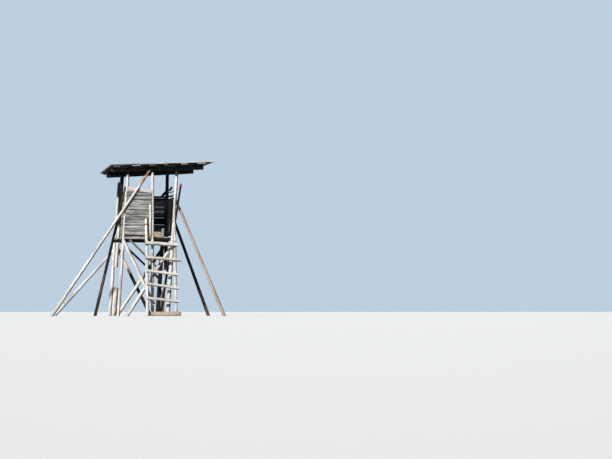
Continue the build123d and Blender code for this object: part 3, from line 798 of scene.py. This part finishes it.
head_left = headed("head_left_log", 0.955)
head_door = headed("head_door_log", 0.966)
head_right = headed("head_right_log", 0.938)
# painted shade: the head of the rear left leg is black, where the roof's shadow falls
dark_top = log_wood("dark_topped_log", [
    (0.0, soft), (0.2, pale), (0.865, pale), (0.885, ink), (1.0, ink)], ends=0.4, blotches=0.1)
# painted shade: the upper part of the rear left post is black, in the shade of the roof and cabin;
# its foot is light
light_foot = log_wood("light_footed_log", [
    (0.0, soft), (0.40, pale), (0.45, dark), (0.5, ink), (1.0, ink)], ends=0.4, blotches=0.1)
strut_a = log_wood("strut_log", [
    (0.0, soft), (0.2, pale), (0.87, pale), (0.90, srgb(222, 186, 158)), (0.925, orange),
    (0.945, srgb(214, 176, 150)), (0.965, srgb(172, 104, 70)), (0.985, srgb(212, 176, 154)),
    (1.0, soft)], blotches=0.2)
pinkish = log_wood("pinkish_log", [(0.0, tan), (0.5, pink), (1.0, pink)], streak=0.40,
                   blotches=0.22, side_shade=0.4)
# painted shade: this brace is near black on the side turned to the front; back gives the weathered
# colour of its rear
reddish = log_wood("reddish_log", [
    (0.0, brown), (0.12, brown), (0.18, dark), (0.3, ink), (0.72, ink), (0.92, srgb(34, 17, 15)),
    (0.975, srgb(38, 20, 17)), (1.0, srgb(156, 84, 60))],
    blotch=srgb(60, 28, 22), blotches=0.25, back=worn_back)
# painted shade: the front rafter is dark slate in the shade under the roof; back gives its
# weathered rear
slate_log = log_wood("slate_log", [(0.0, slate), (1.0, slate)],
                     blotch=srgb(50, 50, 42), ends=0.12, back=worn_back)
# painted shade: black fronts and dark ends for logs in the shade of the cabin and roof; back gives
# their weathered rear
dark_log = log_wood("dark_log", [(0.0, ink), (1.0, ink)],
                    blotch=srgb(40, 37, 34), ends=0.12, back=worn_back)
# painted shade: the rear right leg is black below its head, and its pale head is painted sunlight;
# back gives its weathered rear
domed = log_wood("light_headed_log", [
    (0.0, dark), (0.3, ink), (0.86, ink), (0.89, pale), (1.0, pale)],
    blotch=srgb(40, 36, 33), blotches=0.15, back=worn_back)
# painted shade: the rear right strut is black above its foot, in the cabin's shade; back gives its
# weathered rear
inky = log_wood("black_brown_log", [
    (0.0, brown), (0.12, srgb(120, 100, 80)), (0.19, dark), (0.28, ink), (1.0, ink)],
    blotch=srgb(44, 40, 38), blotches=0.2, back=worn_back)
bark = bark_wood("bark_log", [
    (0.0, srgb(56, 45, 34)), (0.6, srgb(34, 27, 22)), (0.85, srgb(52, 48, 38)),
    (1.0, srgb(60, 57, 46))])
# painted shade: the upper part of the rear rising brace is black, in the shade of the floor and
# cabin
rising = log_wood("rising_brace_log", [
    (0.0, soft), (0.2, pale), (0.60, pale), (0.68, dark), (1.0, ink)], blotches=0.15)
low_brace = log_wood("low_brace_log", [
    (0.0, dark), (0.4, ink), (0.60, ink), (0.635, srgb(226, 204, 186)),
    (0.72, srgb(242, 226, 212)), (1.0, pale)], streak=0.3, blotches=0.1, side_shade=0.3)
# painted light: near white, brighter than the wood, for sunlight on this brace that the lamps
# leave in shadow
thin_brace = log_wood("thin_brace_log", [
    (0.0, srgb(228, 204, 186)), (0.3, srgb(240, 220, 206)), (1.0, srgb(248, 232, 220))],
    streak=0.3, blotches=0.15, side_shade=0.0)
# painted shade: the front floor beam is near black, in the shade under the cabin
beam_log = log_wood("beam_log", [(0.0, srgb(36, 31, 27)), (1.0, srgb(30, 26, 23))],
                    blotch=srgb(58, 46, 36), ends=0.4)
rung_log = log_wood("rung_log", [(0.0, soft), (0.4, srgb(232, 226, 214)), (1.0, pale)],
                    streak=0.35, blotches=0.15)
cream_rung = log_wood("cream_rung_log", [
    (0.0, soft), (0.62, pale), (0.85, srgb(250, 232, 204)), (1.0, srgb(254, 236, 204))],
    blotches=0.10)

# Materials of the boards
foot_wood = board_wood("foot_plank_wood", srgb(232, 208, 192), srgb(184, 156, 140))
# crown paints a highlight above the sloping top line of the front wall
wall_wood = board_wood("wall_wood", srgb(202, 201, 199), srgb(88, 87, 86), edge=1.0,
                       stains=0.18, stain=srgb(104, 98, 92),
                       crown=(3.130, 0.122, srgb(208, 198, 195)), shine=srgb(240, 239, 237))
side_wood = board_wood("side_wall_wood", srgb(236, 234, 228), srgb(150, 146, 140), edge=0.8)
# painted shade: the inner faces of the rear and right walls are near black, the shade inside the
# cabin; outside gives their weathered outer faces
shaded = {"light": srgb(28, 30, 34), "dark": srgb(14, 15, 18), "stain": srgb(34, 29, 26),
          "stains": 0.15}
rear_wood = board_wood("rear_wall_wood", **shaded, cream=srgb(250, 228, 200),
                       outside=(1, srgb(186, 180, 172), srgb(112, 106, 99)))
right_wood = board_wood("right_wall_wood", **shaded,
                        outside=(0, srgb(188, 182, 174), srgb(112, 106, 99)))
lath_wood = board_wood("lath_wood", srgb(96, 100, 106), srgb(60, 62, 68), stains=0.1)
# painted shade: the roof boards are near black, the shade under the roof; top gives their
# weathered upper face
roof_wood = board_wood("roof_wood", srgb(34, 40, 34), srgb(18, 22, 19), edge=0.3,
                       stain=srgb(48, 58, 40), stains=0.4, end=srgb(198, 160, 142),
                       upper=[(0.0, srgb(112, 118, 102)), (0.22, srgb(120, 128, 112)),
                              (0.36, srgb(222, 222, 215)), (0.46, srgb(253, 253, 250)),
                              (1.0, srgb(253, 253, 250))],
                       top=(srgb(150, 152, 142), srgb(104, 108, 98)))
# painted shade: the lower roof boards are near black, in the roof's shade
under_wood = board_wood("roof_under_wood", srgb(34, 38, 33), srgb(18, 21, 19),
                        stain=srgb(44, 52, 38), stains=0.4, end=srgb(226, 218, 208))
deck_wood = board_wood("deck_wood", srgb(120, 108, 94), srgb(70, 60, 50),
                       end=srgb(206, 196, 178))
sill_wood = board_wood("sill_wood", srgb(236, 232, 228), srgb(170, 166, 160), edge=0.9)
iron = rusty("rusty_iron")

# Logs: material, number of knots, number of drying cracks
plan = {
    "leg_front_left": (head_left, 7, 2), "door_post": (head_door, 6, 2),
    "leg_front_right": (head_right, 7, 2), "leg_rear_left": (dark_top, 6, 2),
    "post_rear_left": (light_foot, 4, 1), "leg_rear_right": (domed, 4, 2),
    "post_rear_right": (dark_log, 4, 1), "rafter_front": (slate_log, 5, 1),
    "rafter_rear": (dark_log, 5, 1), "floor_beam_front": (beam_log, 3, 1),
    "floor_beam_rear": (dark_log, 3, 1), "stub_rear_left": (whitish, 3, 2),
    "stub_rear_right": (whitish, 3, 2), "strut_left_front": (strut_a, 8, 1),
    "strut_left_middle": (bark, 5, 1), "strut_left_rear": (whitish, 6, 1),
    "strut_right_front": (pinkish, 7, 1), "strut_right_rear": (inky, 7, 1),
    "brace_right_side": (reddish, 6, 1), "brace_front_falling": (whitish, 4, 1),
    "brace_front_rising": (whitish, 5, 1), "brace_rear_rising": (rising, 5, 1),
    "brace_rear_falling": (dark_log, 4, 1), "brace_rear_low": (low_brace, 5, 1),
    "brace_middle": (thin_brace, 4, 1), "ladder_rail_left": (whitish, 6, 2),
    "ladder_rail_right": (whitish, 6, 2), "rung_1": (rung_log, 2, 1),
    "rung_2": (cream_rung, 2, 1), "rung_3": (rung_log, 2, 1), "rung_4": (rung_log, 2, 1),
    "rung_5": (rung_log, 2, 1),
}
lines = {}      # middle, direction and radius of each log
for number, (node, (material, knots, cracks)) in enumerate(plan.items()):
    lines[node] = whittle(node, 100 + number, material, knots, cracks)

# Boards
front = plane_board("wall_front", 11, wall_wood, pitch=0.014, columns=12,
                    tone_list=(0.95, 1.0, 0.6, 0.62, 0.45, 0.95, 0.9, 0.55, 0.75))
left = plane_board("wall_left", 12, side_wood, tones=(0.3, 1.0))
right = plane_board("wall_right", 13, right_wood)
# the lowest rear board's tone of 2.0 gives it painted sunlight
rear = plane_board("wall_rear", 14, rear_wood, wavy=0.001, widen=0.0022,
                   tone_list=(2.0, 0.6, 0.8, 0.5, 0.9, 0.6, 0.7))
sill = plane_board("sill_board", 15, sill_wood)
plane_board("floor_boards", 16, deck_wood)
under = plane_board("roof_boards_under", 17, under_wood, pitch=0.03,
                    tone_list=(0.4, 0.8, 0.38, 0.4, 1.0, 0.9))
top = plane_board("roof_boards_top", 18, roof_wood, pitch=0.03)
plane_board("foot_plank", 19, foot_wood)


# Laths, splinters and wire
def stick(name, start, finish, wide, thick, material, seed, facing=(0, 1, 0),
          square=0.35, wavy=0.12, shape=(1.0, 1.0), tone=0.7):
    """A lath or splinter between two points, with the material that it is given.

    wide and thick are halves, and shape scales them along the way."""
    dice = random.Random(seed)
    start, finish = Vector(start), Vector(finish)
    way = (finish - start).normalized()
    flat = Vector(facing)
    flat = (flat - way * flat.dot(way)).normalized()
    across = way.cross(flat)
    length = (finish - start).length
    shift = anywhere(dice)
    rows = max(4, int(length / 0.02))
    rings, marks = [], {}
    for row in range(rows + 1):
        share = row / rows
        place = share * (len(shape) - 1)
        first = min(int(place), len(shape) - 2)
        swell = shape[first] + (shape[first + 1] - shape[first]) * (place - first)
        ring, grain, section = [], [], []
        for k in range(STICK_SIDES):
            angle = TURN * k / STICK_SIDES
            c, d = math.cos(angle), math.sin(angle)
            u = math.copysign(abs(c) ** square, c) * wide * swell
            v = math.copysign(abs(d) ** square, d) * thick * min(1.0, swell)
            u *= 1 + wavy * noise.noise(shift + Vector((share * length * 14, c, 0)))
            ring.append(start + way * (share * length) + across * u + flat * v)
            grain.append((u + shift.x, v + shift.y, share * length + shift.z))
            section.append((u, v, share * length))
        rings.append(ring)
        note(marks, len(ring), grain=grain, section=section, along=share, crack=0.0, knot=0.0,
             tone=tone, edge=0.0, cap=0.0)
    dress(tube(name, rings, marks), material)


def at_height(node, z):
    """The middle of a log at a height."""
    centre, way, _ = lines[node]
    return centre + way * ((z - centre.z) / way.z)


stick("batten", (0.256, -0.8390, 2.004), (0.253, -0.8390, 2.79), 0.028, 0.009, whitish,
      31)
stick("knee", (0.730, 0.4535, 3.075), (0.852, 0.4480, 3.222), 0.036, 0.012, rear_wood,
      32)
stick("hanging_board", (0.862, 0.400, 3.195), (0.862, -0.610, 3.268), 0.046, 0.009, rear_wood,
      33, facing=(1, 0, 0), shape=(0.5, 0.35, 0.35, 0.75, 1.0, 0.75, 0.05), tone=0.3)
stick("twig", (0.862, 0.400, 3.180), (0.885, -0.770, 3.143), 0.013, 0.010, rear_wood,
      34, facing=(1, 0, 0), square=0.9, wavy=0.5, tone=0.3)
stick("splintered_board", (0.858, 0.400, 3.080), (0.880, -0.765, 3.040), 0.024, 0.009,
      rear_wood, 35, facing=(1, 0, 0), wavy=0.7,
      shape=(0.9, 0.7, 1.0, 0.8, 1.1, 0.7, 1.0), tone=0.3)
stick("lath_right", (0.7755, -0.538, 2.12), (0.7935, -0.533, 2.43), 0.014, 0.007, lath_wood,
      36, facing=(1, 0, 0))
stick("lath_rear", (0.537, 0.4575, 2.872), (0.822, 0.4575, 2.992), 0.017, 0.008, lath_wood,
      37, tone=0.4)


def wire(name, path, reference):
    """Bent wire along a path; the reference is a direction that the path never takes."""
    rings = []
    for number, spot in enumerate(path):
        way = path[min(number + 1, len(path) - 1)] - path[max(number - 1, 0)]
        first = way.cross(reference).normalized()
        second = way.cross(first).normalized()
        turns = [TURN * k / WIRE_SIDES for k in range(WIRE_SIDES)]
        rings.append([spot + (first * math.cos(turn) + second * math.sin(turn)) * WIRE_RADIUS
                      for turn in turns])
    dress(tube(name, rings, {"cap": [[0.0] * WIRE_SIDES for _ in rings]}), iron)


wire("link_wire", [at_height("leg_front_right", 3.19), at_height("brace_right_side", 3.20)],
     Vector((0, 0, 1)))
hub = at_height("ladder_rail_left", 2.29)
_, rail_way, rail_girth = lines["ladder_rail_left"]
side = rail_way.cross(Vector((0, 1, 0))).normalized()
other = rail_way.cross(side)
coil = []
for step in range(COIL_TURNS * COIL_STEPS + 1):
    angle = step * TURN / COIL_STEPS
    coil.append(hub + rail_way * (COIL_RISE * step / COIL_STEPS + COIL_START)
                + (side * math.cos(angle) + other * math.sin(angle)) * (rail_girth + COIL_GAP))
wire("rail_wire", coil, rail_way)

# Nails: two at each end of the wall boards, two where a roof board crosses one below, and two
# where a rung crosses a rail
for boards, facing in ((front, (0, -1, 0)), (left, (1, 0, 0)), (right, (-1, 0, 0)),
                       (rear, (0, 1, 0)), (sill, (0, -1, 0))):
    dice = random.Random(len(boards))
    for middle, way, across, normal, half_l, half_w, half_t in boards:
        out = normal if normal @ facing > 0 else -normal
        for end in (-1, 1):
            for place in (-0.5, 0.5):
                spot = (middle + way * end * (half_l - dice.uniform(0.018, 0.030))
                        + across * half_w * (place + dice.uniform(-0.12, 0.12)) + out * half_t)
                nail(spot, out)
for middle, way, across, normal, half_l, half_w, half_t in top:
    dice = random.Random(round(middle[1] * 1000))
    out = normal if normal[2] > 0 else -normal
    for other_middle, *_ in under:
        along = (other_middle - middle) @ way
        for place in (-0.55, 0.55):
            nail(middle + way * (along + dice.uniform(-0.03, 0.03)) + across * half_w * place
                 + out * (half_t - NAIL_SUNK), out)
for number in range(1, 6):
    centre, way, girth = lines[f"rung_{number}"]
    for rail in ("ladder_rail_left", "ladder_rail_right"):
        rail_centre, rail_way, _ = lines[rail]
        lean = way.dot(rail_way)
        apart = centre - rail_centre
        nearest = (lean * rail_way.dot(apart) - way.dot(apart)) / (1 - lean * lean)
        spot = centre + way * nearest + Vector((0, -girth + 0.0005, 0))
        for aside in (0.012, -0.012):
            nail(spot + way * aside, Vector((0, -1, 0)), RUNG_NAIL)
drive_nails(iron)


# Floor, backdrop and lamps
def plain_sight(tree):
    """One for the rays that see the floor and the backdrop: camera, glossy, transmission."""
    path = tree.nodes.new("ShaderNodeLightPath")
    seen = path.outputs["Is Camera Ray"]
    for kind in ("Is Glossy Ray", "Is Transmission Ray"):
        either = tree.nodes.new("ShaderNodeMath")
        either.operation = "MAXIMUM"
        tree.links.new(seen, either.inputs[0])
        tree.links.new(path.outputs[kind], either.inputs[1])
        seen = either.outputs[0]
    return seen


floor_mesh = bpy.data.meshes.new("floor")
work = bmesh.new()
bmesh.ops.create_grid(work, x_segments=8, y_segments=8, size=FLOOR_HALF)
work.to_mesh(floor_mesh)
work.free()
floor = put("floor", floor_mesh)
floor.location = (0, 0, -0.0005)
t = Tree("pale_floor")
speck = t.noise(t.node("TexCoord").outputs["Object"], (0.4, 0.4, 0.4), 3, 0.5)
t.shader.inputs["Emission Color"].default_value = (1.0, 1.0, 1.0, 1.0)
t.feed(t.shader.inputs["Emission Strength"],
       t.math("MULTIPLY", plain_sight(t.tree), FLOOR_GLOW))
floor_mesh.materials.append(t.finish(
    t.mix(speck, srgb(150, 152, 152), srgb(156, 157, 156)), speck, 0.9, 0.001, 0.1))

world = bpy.data.worlds.new("studio")
bpy.context.scene.world = world
world.use_nodes = True
tree = world.node_tree
tree.nodes.clear()
pick = tree.nodes.new("ShaderNodeMixShader")
tree.links.new(plain_sight(tree), pick.inputs[0])
for socket, colour, strength in ((1, (0.70, 0.84, 1.0), FILL), (2, srgb(188, 208, 224), 1.0)):
    background = tree.nodes.new("ShaderNodeBackground")
    background.inputs["Color"].default_value = (*colour, 1.0)
    background.inputs["Strength"].default_value = strength
    tree.links.new(background.outputs[0], pick.inputs[socket])
out = tree.nodes.new("ShaderNodeOutputWorld")
tree.links.new(pick.outputs[0], out.inputs["Surface"])


def lamp(name, kind, towards, energy, colour, **settings):
    """A lamp that shines in a direction."""
    data = bpy.data.lights.new(name, kind)
    data.energy = energy
    data.color = colour
    for key, value in settings.items():
        setattr(data, key, value)
    obj = put(name, data)
    obj.rotation_mode = "QUATERNION"
    obj.rotation_quaternion = Vector(towards).to_track_quat("-Z", "Y")
    obj.location = -Vector(towards) * 10
    return obj


lamp("key", "SUN", (0.66, 1.0, -0.47), 4.25, (1.0, 0.985, 0.96), angle=math.radians(3))
lamp("sky", "SUN", (0.1, 0.15, -1.0), 0.2, (0.95, 0.98, 1.0), angle=math.radians(60))
lamp("back", "SUN", (-0.25, -0.97, -0.35), 1.1, (0.95, 0.98, 1.0), angle=math.radians(40))
glow = lamp("doorway", "SPOT", (0.02, 4.46, -0.22), 520, (1.0, 0.98, 0.95),
            spot_size=math.radians(6.4), spot_blend=0.5, shadow_soft_size=0.1)
glow.location = (0.60, -4.0, 2.34)

# Camera at the photograph's place
camera = bpy.data.cameras.new("camera")
camera.sensor_width = 36
camera.lens = 88.235
camera.clip_end = 400
eye = put("camera", camera)
eye.location = (-5.197, -38.160, 0.125)
eye.rotation_euler = (math.radians(90 + 3.11), 0, math.radians(-14.25))
bpy.context.scene.camera = eye
bpy.context.scene.view_settings.view_transform = "Standard"
